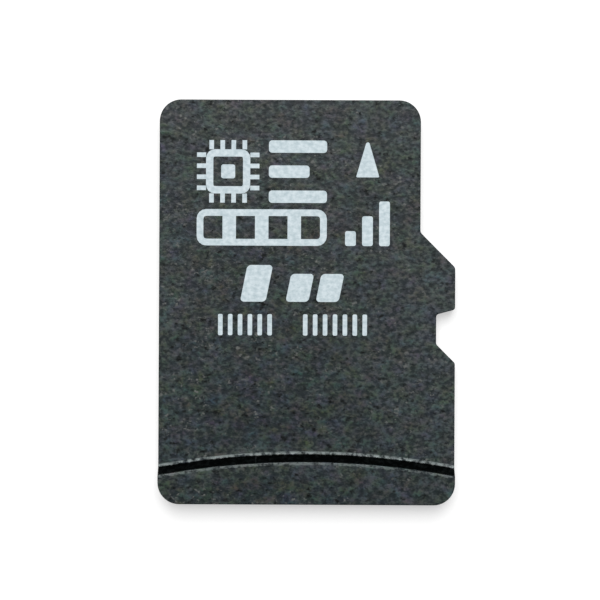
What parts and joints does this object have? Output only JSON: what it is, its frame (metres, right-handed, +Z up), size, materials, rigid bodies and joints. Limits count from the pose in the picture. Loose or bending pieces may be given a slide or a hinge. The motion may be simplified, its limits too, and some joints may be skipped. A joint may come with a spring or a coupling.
{
  "type": "removable flash memory card",
  "caption": "Thin black flash memory card with a stepped side, a latch notch, a raised finger lip at the rear and gold contacts underneath.",
  "frame": {"origin": "under the middle of the card's outline, on the contact face that it lies on", "axes": "+X across the card towards the stepped side, +Y along the card towards the end that goes into the socket, +Z up to the printed face"},
  "size_m": [0.011, 0.015, 0.001],
  "materials": {
    "mould_compound": "fine matt grain",
    "board_laminate": "satin solder resist",
    "contact_gold": "thin gold plating",
    "bond_copper": "gold plated copper",
    "die_film": "soft adhesive film",
    "silicon": "polished silicon",
    "capacitor_ceramic": "fired ceramic",
    "tinned_ends": "matt tin",
    "bond_wire": "drawn gold",
    "print_ink": "thin pad printed ink"
  },
  "bodies": {
    "root": {"mould_body": "mould_compound", "substrate_board": "board_laminate", "contact_1_data_2": "contact_gold", "contact_2_data_3": "contact_gold", "contact_3_command": "contact_gold", "contact_4_supply": "contact_gold", "contact_5_clock": "contact_gold", "contact_6_ground": "contact_gold", "contact_7_data_0": "contact_gold", "contact_8_data_1": "contact_gold", "flash_bond_fingers": "bond_copper", "controller_bond_fingers": "bond_copper", "capacitor_lands": "bond_copper", "die_film_lower": "die_film", "die_film_upper": "die_film", "controller_film": "die_film", "flash_die_lower": "silicon", "flash_die_upper": "silicon", "controller_die": "silicon", "capacitor_1_ceramic": "capacitor_ceramic", "capacitor_1_ends": "tinned_ends", "capacitor_2_ceramic": "capacitor_ceramic", "capacitor_2_ends": "tinned_ends", "capacitor_3_ceramic": "capacitor_ceramic", "capacitor_3_ends": "tinned_ends", "flash_wires_lower": "bond_wire", "flash_wires_upper": "bond_wire", "controller_wires": "bond_wire"}
  },
  "joints": []
}
